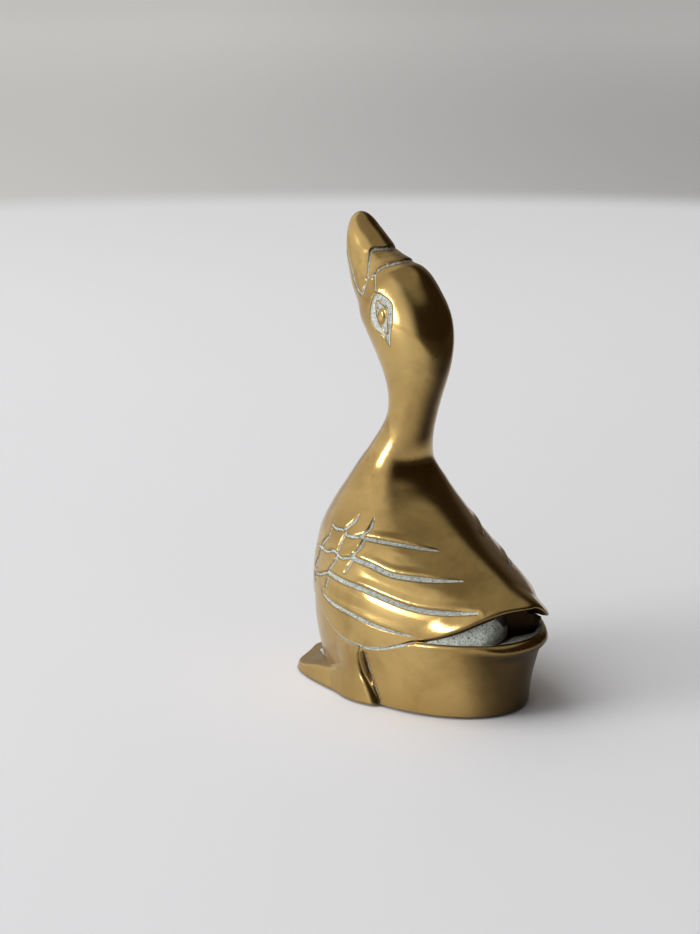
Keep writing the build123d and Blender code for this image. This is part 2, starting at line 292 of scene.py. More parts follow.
class NodeDesk:
    def __init__(self, tree):
        self.tree = tree

    def add(self, kind, settings=None, sockets=None, out=0):
        node = self.tree.nodes.new(kind)
        for name, value in (settings or {}).items():
            setattr(node, name, value)
        for name, value in (sockets or {}).items():
            if isinstance(value, Wire):
                self.tree.links.new(value.socket, node.inputs[name])
            else:
                node.inputs[name].default_value = value
        return node if out is None else Wire(self, node.outputs[out])

    def step(self, value, low, high, fromValue=0.0, toValue=1.0):
        return self.add("ShaderNodeMapRange", {"interpolation_type": "SMOOTHSTEP"}, {
            "Value": value, "From Min": low, "From Max": high, "To Min": fromValue, "To Max": toValue})

    def mixColour(self, factor, first, second):
        return self.add("ShaderNodeMix", {"data_type": "RGBA"}, {0: factor, 6: first, 7: second}, out=2)

    def noise(self, place, scale, detail=2.0, roughness=0.5, distortion=0.0):
        return self.add("ShaderNodeTexNoise", None, {
            "Vector": place, "Scale": scale, "Detail": detail, "Roughness": roughness,
            "Distortion": distortion})

    def stretched(self, place, scale, turn=(0.0, 0.0, 0.0)):
        return self.add("ShaderNodeMapping", None, {"Vector": place, "Rotation": turn, "Scale": scale})

    def vector(self, operation, first, second, out=0):
        return self.add("ShaderNodeVectorMath", {"operation": operation}, {0: first, 1: second}, out=out)

    def heightOf(self, place):
        return self.add("ShaderNodeSeparateXYZ", None, {"Vector": place}, out="Z")

    def bump(self, strength, depth, relief):
        sockets = {"Strength": strength, "Distance": depth * mm, "Height": relief}
        return self.add("ShaderNodeBump", None, sockets)


# Materials
def shaderDesk(name):
    material = bpy.data.materials.new(name)
    material.use_nodes = True
    material.node_tree.nodes.clear()
    desk = NodeDesk(material.node_tree)
    return material, desk, desk.add("ShaderNodeTexCoord", out="Object")


def finishSurface(desk, sockets):
    shader = desk.add("ShaderNodeBsdfPrincipled", None, sockets)
    desk.add("ShaderNodeOutputMaterial", None, {"Surface": shader}, out=None)


brassLook = {
    "polished": (0.60, 0.415, 0.155, 1), "tarnished": (0.38, 0.245, 0.085, 1),
    "sootAndShade": (0.035, 0.020, 0.009, 1), "reddish": (0.42, 0.19, 0.08, 1),
    "residue": (0.53, 0.58, 0.52, 1), "residueGrey": (0.27, 0.275, 0.245, 1),
    "residueDark": (0.085, 0.060, 0.050, 1),
    "roughness": 0.17, "tarnishRoughness": 0.25, "residueRoughness": 0.92,
    "cloudScale": 70.0, "mottleScale": 420.0, "grainScale": 2600.0, "hairScale": 420.0, "spotScale": 900.0,
    "crumbScale": 1900.0, "powderScale": 3200.0, "speckScale": 1700.0,
    "hairTurn": (0.5, 0.3, 0.9), "hairStretch": (1.0, 14.0, 14.0),
    "cloudRange": (0.34, 0.72), "mottleRange": (0.58, 0.80), "bandRange": (1.05, 0.25),
    "spotRange": (0.62, 0.70), "coverRange": (0.36, 0.56), "powderRange": (0.40, 0.62),
    "speckRange": (0.54, 0.66), "rimRange": (0.70, 0.45),
    "cloudRoughness": 0.05, "mottleRoughness": 0.06, "hairRoughness": 0.04,
    "neckBandHeight": 42.6, "neckBandWidth": 3.2, "neckBandTone": 0.55, "spotTone": 0.7,
    "baseDarkHeight": 7.0, "baseDarkTone": 0.5, "mottleTone": 0.35, "speckTone": 0.8, "rimTone": 0.55,
    "bumpStrength": 0.35, "bumpDepth": 0.03,
    "hairRelief": 0.25, "grainRelief": 0.35, "crumbRelief": 6.0, "mottleRelief": 0.5,
}


# Old polished brass: cloudy tarnish, rubbed hairlines, and pale residue where the polish has dried
def castBrass(name="castBrass", redness=0.0):
    look = brassLook
    material, desk, place = shaderDesk(name)
    residue = desk.add("ShaderNodeAttribute", {"attribute_name": "residue"}, out="Fac")
    tarnish = desk.add("ShaderNodeAttribute", {"attribute_name": "tarnish"}, out="Fac")
    clouds = desk.noise(place, look["cloudScale"], 4.0, 0.6, 0.6)
    mottle = desk.noise(place, look["mottleScale"], 3.0, 0.65, 0.2)
    grain = desk.noise(place, look["grainScale"], 2.0, 0.6)
    height = desk.heightOf(place)
    # a browner band at the neck's root, with a few red spots
    away = (height - look["neckBandHeight"] * mm).maths("ABSOLUTE") / (look["neckBandWidth"] * mm)
    band = desk.step(away + (mottle - 0.5) * 0.8, *look["bandRange"])
    cloudy, mottled = desk.step(clouds, *look["cloudRange"]), desk.step(mottle, *look["mottleRange"])
    colour = desk.mixColour(cloudy, look["polished"], look["tarnished"])
    colour = desk.mixColour(mottled * look["mottleTone"], colour, look["tarnished"])
    colour = desk.mixColour(band * look["neckBandTone"] + redness, colour, look["tarnished"])
    spots = desk.step(desk.noise(place, look["spotScale"], 1.0, 0.4), *look["spotRange"])
    colour = desk.mixColour(spots * band * look["spotTone"], colour, look["reddish"])
    # darker towards the base, then the dark tarnish and painted shade that the pieces ask for
    baseDarkening = desk.step(height / mm + (clouds - 0.5) * 6, look["baseDarkHeight"], 0.0)
    colour = desk.mixColour(baseDarkening * look["baseDarkTone"], colour, look["tarnished"])
    # the dark tarnish colour also carries painted shade: under the wing, in the recess under the tail, in the
    # crevice, and a painted dark reflection on the neck
    colour = desk.mixColour(tarnish, colour, look["sootAndShade"])
    # residue breaks up at its edges and is crumbly inside
    crumbs = desk.noise(place, look["crumbScale"], 3.0, 0.7, 0.3)
    cover = desk.step(residue + (crumbs - 0.5) * 0.55, *look["coverRange"])
    powder = desk.noise(place, look["powderScale"], 3.0, 0.7)
    chalk = desk.mixColour(desk.step(powder, *look["powderRange"]), look["residue"], look["residueGrey"])
    specks = desk.step(desk.noise(place, look["speckScale"], 3.0, 0.75), *look["speckRange"])
    chalk = desk.mixColour(specks * look["speckTone"], chalk, look["residueDark"])
    rim = desk.step(residue + (powder - 0.5) * 0.5, *look["rimRange"])
    chalk = desk.mixColour(rim * look["rimTone"], chalk, look["residueDark"])
    colour = desk.mixColour(cover, colour, chalk)
    # the polishing hairlines run one way
    brushed = desk.stretched(place, look["hairStretch"], look["hairTurn"])
    hairs = desk.noise(brushed, look["hairScale"], 2.0, 0.6)
    roughness = look["roughness"] + desk.step(clouds, 0.3, 0.75) * look["cloudRoughness"]
    roughness = roughness + desk.step(mottle, 0.45, 0.8) * look["mottleRoughness"]
    roughness = roughness + (hairs - 0.5) * look["hairRoughness"] + tarnish * look["tarnishRoughness"]
    roughness = roughness * (1 - cover) + cover * look["residueRoughness"]
    relief = (hairs * look["hairRelief"] + grain * look["grainRelief"]) * (1 - cover)
    relief = relief + crumbs * cover * look["crumbRelief"] + mottle * look["mottleRelief"]
    finishSurface(desk, {"Base Color": colour, "Metallic": 1 - cover, "Roughness": roughness,
                         "Normal": desk.bump(look["bumpStrength"], look["bumpDepth"], relief)})
    return material


brass = castBrass()
brazeFiller = castBrass("brazeFiller", redness=0.06)

sheetLook = {
    "bright": (0.50, 0.37, 0.16, 1), "stained": (0.27, 0.19, 0.09, 1), "roughness": 0.32,
    "drawnStretch": (60.0, 1.0, 1.0), "drawnScale": 60.0, "stainScale": 120.0, "drawnRoughness": 0.15,
}


# Dull rolled brass sheet, drawn one way
def rolledBrass():
    material, desk, place = shaderDesk("rolledBrass")
    look = sheetLook
    drawn = desk.noise(desk.stretched(place, look["drawnStretch"]), look["drawnScale"], 3.0)
    stains = desk.step(desk.noise(place, look["stainScale"], 3.0), 0.4, 0.7)
    colour = desk.mixColour(stains, look["bright"], look["stained"])
    finishSurface(desk, {"Base Color": colour, "Metallic": 1.0,
                         "Roughness": look["roughness"] + drawn * look["drawnRoughness"],
                         "Normal": desk.bump(0.3, 0.02, drawn)})
    return material


feltLook = {
    "deep": (0.018, 0.05, 0.03, 1), "fibre": (0.06, 0.15, 0.09, 1), "worn": (0.10, 0.11, 0.08, 1),
    "fibreScale": 2400.0, "wearScale": 140.0, "wearTone": 0.4, "roughness": 0.95, "sheen": 0.4,
}


# Dark green pressed felt with loose short fibres
def pressedFelt():
    material, desk, place = shaderDesk("pressedFelt")
    look = feltLook
    fibres = desk.noise(place, look["fibreScale"], 4.0, 0.8, 1.5)
    wear = desk.step(desk.noise(place, look["wearScale"], 2.0), 0.5, 0.75)
    colour = desk.mixColour(fibres, look["deep"], look["fibre"])
    colour = desk.mixColour(wear * look["wearTone"], colour, look["worn"])
    finishSurface(desk, {"Base Color": colour, "Roughness": look["roughness"], "Sheen Weight": look["sheen"],
                         "Normal": desk.bump(0.8, 0.08, fibres)})
    return material


# Chased lines: a tree that sinks every vertex near a drawn line, and puts residue and tarnish there; in the
# crevice behind the leg that tarnish is painted shade.
# Each of its plain inputs: the socket's name, the cut's own value and its unit
cutInputs = [
    ("Depth", "depth", mm), ("Swell", "swell", mm), ("Swell Reach", "reach", mm), ("Dip", "dip", mm),
    ("Waver", "waver", 1), ("Residue Share", "residue", 1), ("Seed", "seed", 1),
]
plainCut = {"swell": 0.0, "reach": 1.0, "dip": 0.0}  # a cut with no swelling beside it
# How far a line's work spreads, in shares of its half width or, for swell and dip, of the reach
carving = {
    "waverScale": 1300.0, "softening": 0.3, "proudRange": (-0.35, 0.35),
    "swellStart": 0.4, "swellFull": 1.6, "swellFullReach": 0.25, "swellFade": (0.45, 2.2),
    "dipFade": (0.2, 1.8),
    "residueFade": (0.55, 1.15), "tarnishFade": (0.8, 1.7), "tarnish": 0.6, "depthWaver": 0.8,
}


def carvingTree():
    c = carving
    tree = bpy.data.node_groups.new("chasedLines", "GeometryNodeTree")
    inputs = [("Geometry", "Geometry"), ("Lines", "Object"), ("Finish", "Material")]
    for name, kind in inputs + [(row[0], "Float") for row in cutInputs]:
        tree.interface.new_socket(name, in_out="INPUT", socket_type="NodeSocket" + kind)
    tree.interface.new_socket("Geometry", in_out="OUTPUT", socket_type="NodeSocketGeometry")
    desk = NodeDesk(tree)
    given = desk.add("NodeGroupInput", out=None)
    value = {s.name: Wire(desk, s) for s in given.outputs}
    lines = desk.add("GeometryNodeObjectInfo", None, {"Object": value["Lines"]}, out="Geometry")
    here = desk.add("GeometryNodeInputPosition")
    near = desk.add("GeometryNodeProximity", {"target_element": "EDGES"},
                    {"Geometry": lines, "Sample Position": here}, out=None)
    away = Wire(desk, near.outputs["Distance"])
    nearest = desk.add("GeometryNodeSampleNearest", {"domain": "POINT"},
                       {"Geometry": lines, "Sample Position": here})

    def named(field):
        return desk.add("GeometryNodeInputNamedAttribute", {"data_type": "FLOAT"}, {"Name": field},
                        out="Attribute")

    def fading(away, width, shares):
        return desk.step(away, width * shares[0], width * shares[1], 1.0, 0.0)

    def drawn(field):
        return desk.add("GeometryNodeSampleIndex", {"data_type": "FLOAT", "domain": "POINT"},
                        {"Geometry": lines, "Value": named(field), "Index": nearest})

    # the finish is stored before the vertices move away from the lines
    def stored(geometry, field, amount):
        return desk.add("GeometryNodeStoreNamedAttribute", {"data_type": "FLOAT", "domain": "POINT"},
                        {"Geometry": geometry, "Name": field, "Value": named(field).maths("MAXIMUM", amount)})

    half, side, press = drawn("halfWidth"), drawn("side"), drawn("press")
    shifted = desk.vector("ADD", here, desk.add("ShaderNodeCombineXYZ", None, {"X": value["Seed"]}))
    shake = desk.noise(shifted, c["waverScale"], 2.0, 0.6) - 0.5
    half = half * (1 + shake * value["Waver"])
    hollow = desk.step(away, 0.0, half, 1.0, 0.0)
    # how far above the line the vertex lies, for lines with one proud side
    offset = desk.vector("SUBTRACT", here, Wire(desk, near.outputs["Position"]))
    above = desk.heightOf(offset) * side
    above = above / (away * away + (c["softening"] * mm) ** 2).maths("SQRT")
    over = desk.step(above, *c["proudRange"])
    reach = value["Swell Reach"]
    rise = desk.step(away, half * c["swellStart"], half * c["swellFull"] + reach * c["swellFullReach"])
    rise = rise * fading(away, reach, c["swellFade"])
    fall = fading(away, reach, c["dipFade"])
    strength = press * side.maths("ABSOLUTE")
    shift = rise * over * value["Swell"] * strength - fall * (1 - over) * value["Dip"] * strength
    shift = shift - hollow * value["Depth"] * press * (1 + shake * value["Waver"] * c["depthWaver"])
    powder = fading(away, half, c["residueFade"]) * value["Residue Share"]
    shaped = stored(value["Geometry"], "residue", powder)
    dark = fading(away, half, c["tarnishFade"]) * desk.step(press, 0.0, 0.5) * c["tarnish"]
    shaped = stored(shaped, "tarnish", dark)
    moved = desk.add("ShaderNodeVectorMath", {"operation": "SCALE"},
                     {0: desk.add("GeometryNodeInputNormal"), "Scale": shift})
    shaped = desk.add("GeometryNodeSetPosition", None, {"Geometry": shaped, "Offset": moved})
    real = desk.add("GeometryNodeRealizeInstances", None, {"Geometry": shaped})
    done = desk.add("GeometryNodeSetMaterial", None, {"Geometry": real, "Material": value["Finish"]})
    desk.add("NodeGroupOutput", None, {"Geometry": done}, out=None)
    return tree


chasedLines = carvingTree()
drawing = {"step": 0.2, "endWidth": 0.25, "widthPower": 0.7, "pressPower": 0.6}


# Lines drawn on a piece: each is (points, half width, side, taper at its start, taper at its end)
def drawLines(piece, strokes, mirrored=True):
    d = drawing
    tree = BVHTree.FromPolygons([v.co / mm for v in piece.data.vertices],
                                [p.vertices[:] for p in piece.data.polygons])
    points, edges, halves, sides, presses = [], [], [], [], []
    for stroke, half, side, taperIn, taperOut in strokes:
        for flip in ((1, -1) if mirrored else (1,)):
            path = np.array(stroke, float) * (flip, 1, 1)
            run = np.concatenate([[0], np.cumsum(np.linalg.norm(np.diff(path, axis=0), axis=1))])
            along = np.linspace(0, run[-1], max(3, int(run[-1] / d["step"])))
            start = len(points)
            for place, s in zip(splineWeights(run, along) @ path, along):
                seat = tree.find_nearest(Vector(place))[0]
                pressIn = (s / taperIn) if taperIn else 1.0
                pressOut = ((run[-1] - s) / taperOut) if taperOut else 1.0
                press = min(1.0, pressIn, pressOut)
                points.append(seat * mm)
                halves.append(half * mm * (d["endWidth"] + (1 - d["endWidth"]) * press ** d["widthPower"]))
                sides.append(side)
                presses.append(press ** d["pressPower"])
            edges += [(k, k + 1) for k in range(start, len(points) - 1)]
    mesh = bpy.data.meshes.new("drawnLines")
    mesh.from_pydata([tuple(p) for p in points], edges, [])
    for field, values in (("halfWidth", halves), ("side", sides), ("press", presses)):
        mesh.attributes.new(field, "FLOAT", "POINT").data.foreach_set("value", values)
    return inScene("drawnLines", mesh)


# Carves the strokes into the piece and bakes the result
def chase(piece, strokes, cut, mirrored=True):
    lines = drawLines(piece, strokes, mirrored)
    modifier = piece.modifiers.new("chasedLines", "NODES")
    modifier.node_group = chasedLines
    items = chasedLines.interface.items_tree
    sockets = {item.name: item.identifier for item in items if item.in_out == "INPUT"}
    modifier[sockets["Lines"]] = lines
    modifier[sockets["Finish"]] = brass
    for name, key, unit in cutInputs:
        modifier[sockets[name]] = float(cut[key] * unit)
    graph = bpy.context.evaluated_depsgraph_get()
    baked = bpy.data.meshes.new_from_object(
        piece.evaluated_get(graph), preserve_all_data_layers=True, depsgraph=graph)
    piece.modifiers.remove(modifier)
    old, drawnMesh = piece.data, lines.data
    piece.data = baked
    bpy.data.meshes.remove(old)
    bpy.data.objects.remove(lines)
    bpy.data.meshes.remove(drawnMesh)


# A finished piece rides on the body and stands for its node
def settle(piece, node, material):
    piece.data.materials.clear()
    piece.data.materials.append(material)
    piece.data.name = piece.name
    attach(piece, "root")
    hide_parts(node)
    print(piece.name, "faces", len(piece.data.polygons))


# Upper body with wings, back and tail
upperBody = {
    "columns": 460, "rows": 140, "ringHeight": 18.0,
    "edgeRounding": 0.35, "tailRounding": 0.35, "roundingRows": 5,
    "flare": 1.15, "flareHeight": (3.4, 0.4), "flareRun": (10.0, 19.0),
    "skirtWall": 2.5, "backWall": 4.8, "ceiling": 33.5, "underRows": 6, "innerRows": 10,
    "seamResidue": 0.45, "seamBand": (0.75, 0.3), "seamRun": (9.0, 4.0),
    "edgeResidue": 0.75, "edgeRun": (12.0, 6.0), "edgeDarkening": 0.5,
    "underResidue": 0.2, "underShade": 0.85, "innerTarnish": 0.8,
}


def buildUpperBody():
    v = upperBody
    ring = placeAtHeight(v["ringHeight"])
    turns = evenTurns(lambda t: stemPoints(ring, t), v["columns"])
    low, high = np.zeros_like(turns), np.full_like(turns, bodyTopPlace)
    for _ in range(searchSteps):
        middle = (low + high) / 2
        points = stemPoints(middle, turns)
        under = points[:, 2] < edgeHeight(points[:, 1], points[:, 0])
        low, high = np.where(under, middle, low), np.where(under, high, middle)
    bottom = (low + high) / 2
    edge = stemPoints(bottom, turns)
    inward = stemPoints(bottom, turns, 1.0, 1.0) - edge
    inward /= np.linalg.norm(inward, axis=1, keepdims=True)
    tail = smooth(edge[:, 1], *v["flareRun"])
    r = v["edgeRounding"] + v["tailRounding"] * tail
    body = RingRows(len(turns))

    # the last feather band turns outwards round the tail
    def flared(row, gap):
        lift = v["flare"] * tail * smooth(gap, *v["flareHeight"])
        return row - inward * (1, 1, 0) * lift[:, None]

    start = placeAtHeight(edge[:, 2] + r)
    for k in range(v["rows"], -1, -1):
        row = stemPoints(start + (bodyTopPlace - start) * k / v["rows"], turns)
        gap = row[:, 2] - edge[:, 2]
        front = smooth(row[:, 1], *v["seamRun"])
        body.take(flared(row, gap), smooth(gap, *v["seamBand"]) * front * v["seamResidue"])
    # the rounded lower edge is darker, with residue towards the front
    for k in range(1, v["roundingRows"] + 1):
        angle = math.radians(90 * k / v["roundingRows"])
        height = edge[:, 2] + r * (1 - math.sin(angle))
        row = flared(stemPoints(placeAtHeight(height), turns), height - edge[:, 2])
        powder = v["edgeResidue"] * smooth(row[:, 1], *v["edgeRun"])
        body.take(row + inward * (r * (1 - math.cos(angle)))[:, None], powder, v["edgeDarkening"])
    inner = stemPoints(bottom, turns, v["skirtWall"], v["backWall"], plainRear)
    outer = body.points[-1]
    inner[:, 2] = outer[:, 2]
    # the underside is painted dark: painted shade under the wing's lower edge
    for k in range(1, v["underRows"] + 1):
        body.take(outer + (inner - outer) * k / v["underRows"], v["underResidue"], v["underShade"])
    top = placeAtHeight(v["ceiling"])
    for k in range(1, v["innerRows"] + 1):
        place = bottom + (top - bottom) * k / v["innerRows"]
        body.take(stemPoints(place, turns, v["skirtWall"], v["backWall"], plainRear), 0.0, v["innerTarnish"])
    return body.build("upperBodyCasting", caps=(True, True))


featherGrooves = [
    ([(13.9, -3.3, 31.0), (13.6, -2.5, 30.9), (12.1, 1.2, 30.6), (10.1, 4.5, 30.2), (8, 7.2, 29.7),
      (6.1, 9.2, 29.4)], 0.34, 1, 1.2, 5.0),
    ([(15.9, -4.4, 27.8), (15.7, -2.9, 27.3), (15.1, 0.6, 26.7), (14.3, 3.9, 25.8), (12.3, 8.2, 25.4),
      (9.4, 12.3, 25.2), (6.6, 15.3, 25.2)], 0.48, 1, 1.2, 7.0),
    ([(16.1, -9.6, 23.5), (16.9, -6.1, 23.1), (17.2, -1.2, 22.8), (16.1, 4.4, 21.7), (13.8, 10.9, 20.4),
      (10.9, 16.2, 20.3), (7.4, 20.8, 20.3)], 0.50, 1, 1.5, 7.0),
    ([(15.6, -11.8, 19.2), (15.8, -11, 18.8), (17.1, -6.4, 17.8), (17.6, -0.8, 17.2), (17.1, 2.6, 16.5),
      (15.9, 6.7, 15.8), (14.6, 10.4, 15.4)], 0.52, 1, 1.0, 9.0),
]
scaleLines = [
    ([(11.9, -5.4, 34.8), (12.4, -5.5, 34.0), (13.0, -5.8, 33.2), (13.5, -6.5, 32.4), (13.9, -7.1, 31.8),
      (14.0, -8.0, 31.5), (13.9, -9.0, 31.3), (13.6, -10.4, 31.4), (13.2, -11.3, 31.6)], 0.30, 1, 1.6, 0.6),
    ([(11.1, -2.4, 34.3), (11.8, -2.3, 33.4), (12.6, -2.3, 32.4), (13.3, -2.8, 31.6), (13.9, -3.7, 31.0),
      (14.3, -4.7, 30.8), (14.4, -6.0, 30.8), (14.3, -6.8, 31.0)], 0.30, 1, 1.6, 0.5),
    ([(13.9, -6.9, 31.6), (14.3, -6.8, 31.0), (14.9, -7.0, 29.8), (15.2, -7.3, 28.7), (15.7, -7.5, 27.3)],
     0.26, 1, 0.4, 0.4),
    ([(13.6, -2.5, 31.0), (14.3, -2.5, 29.8), (14.9, -2.8, 29.0), (15.5, -3.3, 28.0), (15.8, -4.1, 27.4),
      (16.0, -5.2, 27.0), (15.9, -6.6, 26.9), (15.7, -7.5, 27.3)], 0.30, 1, 0.6, 0.4),
    ([(13.3, -11.1, 31.4), (13.9, -11.2, 30.1), (14.0, -11.9, 28.9), (13.8, -13.2, 27.7), (13.9, -13.6, 26.3),
      (13.9, -14.3, 24.7), (13.2, -15.9, 22.3)], 0.27, 1, 0.5, 1.0),
    ([(12.5, -15.8, 26.4), (14.0, -13.1, 26.8), (14.6, -11.8, 26.7), (15.1, -10.2, 27.0), (15.3, -8.8, 27.5),
      (15.7, -7.5, 27.2)], 0.30, 1, 1.0, 0.4),
    ([(15.7, -7.5, 27.1), (15.9, -7.7, 26.0), (16.1, -8.6, 24.7), (16.1, -9.2, 23.7), (15.7, -11.0, 22.8),
      (14.7, -13.4, 21.8), (13.8, -15.0, 21.6)], 0.30, 1, 0.4, 0.8),
    ([(15.8, -3.4, 27.3), (16.3, -3.7, 26.1), (16.7, -4.3, 24.9), (16.8, -4.7, 24.1)], 0.26, 1, 0.4, 1.0),
    ([(16.2, -9.1, 23.5), (16.3, -9.3, 22.3), (16.3, -9.8, 21.1), (16.1, -10.3, 19.9)], 0.26, 1, 0.4, 1.0),
    ([(13.9, -14.9, 21.6), (13.6, -15.4, 20.5), (13.8, -15.2, 19.6)], 0.26, 1, 0.4, 0.8),
]
featherCut = {
    "depth": 0.5, "swell": 0.30, "reach": 1.05, "dip": 0.12, "waver": 0.55, "residue": 1.0, "seed": 0.0,
}
scaleCut = {
    "depth": 0.26, "swell": 0.14, "reach": 0.9, "dip": 0.06, "waver": 0.6, "residue": 0.8, "seed": 3.0,
}

upper = buildUpperBody()
chase(upper, featherGrooves, featherCut)
chase(upper, scaleLines, scaleCut)
settle(upper, "upper_body_casting", brass)

# Lower body: belly, rim, the recess under the tail, and the lip
lowerBody = {
    "columns": 460, "rows": 56, "rimLevel": 15.0, "roundingRows": 6,
    "bottomRounding": 0.45, "rimRounding": 0.75, "seamRounding": 0.3, "behindRun": (8.0, 13.0),
    "bead": 1.1, "beadHeight": (10.8, 13.4), "beadRun": (20.0, 24.5), "beadFade": 0.9,
    "wallInset": 0.9, "wallTopInset": 0.5, "wallLean": 0.3, "floorSag": 0.7,
    "keelDepth": 5.0, "keelHalfWidth": 8.2, "keelRounding": 0.9,
    "lipInsetSide": 2.65, "lipInsetBack": 4.95, "lipWall": 1.6, "lipTop": 24.0, "lipLowest": 12.0,
    "wingGap": 0.06, "floorRows": 10, "wallRows": 24, "shelfRows": 4,
    "hollowBehindKeel": 2.4, "hollowTop": 12.5, "bellyWall": 4.1, "bellyWallTop": 10.1,
    "seatDepth": 2.0, "seatWall": 2.2,
    "bottomDarkening": 0.55, "rearDarkening": 0.85, "rearRun": (17.0, 22.5), "rearBelowRim": (0.6, 2.0),
    "seamResidue": 0.45, "seamBand": (0.8, 0.3), "edgeResidue": 0.8, "rimResidue": 0.35, "rimDarkening": 0.3,
    "floorPowder": 0.9, "floorPowderLoss": 0.75, "floorDarkening": (0.3, 0.5),
    "wallPowder": 0.85, "farShadePowderLoss": 0.6, "farShadeLoss": 0.4, "wallShade": (0.6, 0.4), "insideTarnish": 0.9,
    "shadowGap": (0.35, 1.3), "shadowRun": (11.0, 21.0), "keelDarkAbove": 16.6, "keelDarkSpread": 3.6,
    "shelfDarkening": 0.95,
}


def buildLowerBody():
    v = lowerBody
    turns = evenTurns(lambda t: bellyPoints(v["rimLevel"], t), v["columns"])
    top = np.full_like(turns, v["rimLevel"])
    for _ in range(searchSteps):
        top = rimHeight(bellyPoints(top, turns)[:, 1])
    rim = bellyPoints(top, turns)
    behind = smooth(rim[:, 1], *v["behindRun"])
    r = v["seamRounding"] + (v["rimRounding"] - v["seamRounding"]) * behind
    body = RingRows(len(turns))

    def inwardFrom(height):
        step = bellyPoints(height, turns, 1.0) - bellyPoints(height, turns)
        return step / np.linalg.norm(step, axis=1, keepdims=True)

    inward = inwardFrom(v["rimLevel"])

    def beaded(row):
        swell = v["bead"] * smooth(row[:, 1], *v["beadRun"]) * smooth(row[:, 2], *v["beadHeight"])
        swell = swell * (1 - v["beadFade"] * smooth(row[:, 2], v["beadHeight"][1], top + 0.2))
        return row - inward * swell[:, None]

    # darker towards the rear, fading out just below the rim
    def rearDark(row):
        return v["rearDarkening"] * smooth(row[:, 1], *v["rearRun"])

    # outside, from the rounded bottom edge, which is darker, up to the rim and over it, whose inner half is
    # darker
    b, count = v["bottomRounding"], v["roundingRows"]
    for k in range(count, -1, -1):
        angle = math.radians(90 * k / count)
        height = underside + b * (1 - math.sin(angle))
        row = bellyPoints(height, turns) + inwardFrom(height) * b * (1 - math.cos(angle))
        body.take(row, 0.0, np.maximum(v["bottomDarkening"] * smooth(k, 1, count), rearDark(row)))
    for k in range(1, v["rows"] + 1):
        height = underside + b + (top - r - underside - b) * k / v["rows"]
        row = beaded(bellyPoints(height, turns))
        powder = (1 - behind) * v["seamResidue"] * smooth(top - height, *v["seamBand"])
        body.take(row, powder, rearDark(row) * smooth(top - height, *v["rearBelowRim"]))
    for k in range(1, count + 1):
        angle = math.radians(90 * k / count)
        height = top - r * (1 - math.sin(angle))
        row = beaded(bellyPoints(height, turns) + inwardFrom(top) * (r * (1 - math.cos(angle)))[:, None])
        powder = (1 - behind) * v["edgeResidue"] + behind * v["rimResidue"] * smooth(k, count - 1, count)
        body.take(row, powder, v["rimDarkening"] * smooth(k, count / 2, count))

    # the floor behind the rim, the wall that runs in to a rounded keel under the tail, and the lip
    rimRow = body.points[-1]
    wing = np.maximum(top, edgeHeight(rim[:, 1], rim[:, 0]) - v["wingGap"])
    away = np.hypot(rim[:, 0], v["keelRounding"]) / v["keelHalfWidth"]
    keel = np.clip(1 - away, 0, 1) * (rim[:, 1] > 0)
    lipPlace = placeAtHeight(np.maximum(wing, v["lipLowest"]))
    lip = stemPoints(lipPlace, turns, v["lipInsetSide"], v["lipInsetBack"], plainRear)
    floorEnd = rim + inward * (v["wallInset"] + v["keelDepth"] * keel)[:, None]
    wallEnd = stemPoints(lipPlace, turns, v["wallTopInset"], v["wallTopInset"])
    sunk = smooth(keel, 0.0, 0.35)[:, None]
    wallEnd = wallEnd * (1 - sunk) + (floorEnd + inward * v["wallLean"]) * sunk
    floorEnd[:, 2], wallEnd[:, 2] = top - v["floorSag"] * smooth(keel, 0.0, 0.3), wing
    shadowRange = v["shadowGap"][1] - v["shadowGap"][0]
    shadow = v["shadowGap"][0] + shadowRange * smooth(rim[:, 1], *v["shadowRun"])
    # the wall under the tail is painted dark: painted shade, deepest near its top and on the far flank away
    # from the light, which also loses residue
    shadedFarSide = smooth(rim[:, 0], 0.6, -0.6) * (keel > 0)
    # the floor is darker throughout, and darker with less residue deeper in under the keel
    for k in range(1, v["floorRows"] + 1):
        share = k / v["floorRows"]
        shaded = 1 - v["floorPowderLoss"] * smooth(share, 0.5, 0.85) * sunk[:, 0]
        powder = v["floorPowder"] * smooth(share, 0.0, 0.1) * shaded
        dark = v["floorDarkening"][0] + v["floorDarkening"][1] * sunk[:, 0] * smooth(share, 0.5, 0.9)
        body.take(rimRow + (floorEnd - rimRow) * share, powder, dark)
    for k in range(1, v["wallRows"] + 1):
        row = floorEnd + (wallEnd - floorEnd) * k / v["wallRows"]
        powder = v["wallPowder"] * smooth(wing - row[:, 2], shadow - 0.25, shadow + 0.15)
        powder = powder * (1 - v["farShadePowderLoss"] * shadedFarSide)
        dusk = v["keelDarkAbove"] + v["keelDarkSpread"] * (1 - smooth(keel, 0.0, 0.8))
        powder = powder * (1 - smooth(keel, 0.0, 0.2) * smooth(row[:, 2], dusk - 0.8, dusk + 0.8))
        dark = v["wallShade"][0] + v["wallShade"][1] * np.maximum(smooth(powder, 0.6, 0.2), shadedFarSide)
        body.take(row, powder * (1 - v["farShadeLoss"] * shadedFarSide), dark)
    # the shelf under the wing is dark
    for k in range(1, v["shelfRows"] + 1):
        row = wallEnd + (lip - wallEnd) * k / v["shelfRows"]
        row[:, 2] = wing
        body.take(row, 0.0, v["shelfDarkening"])

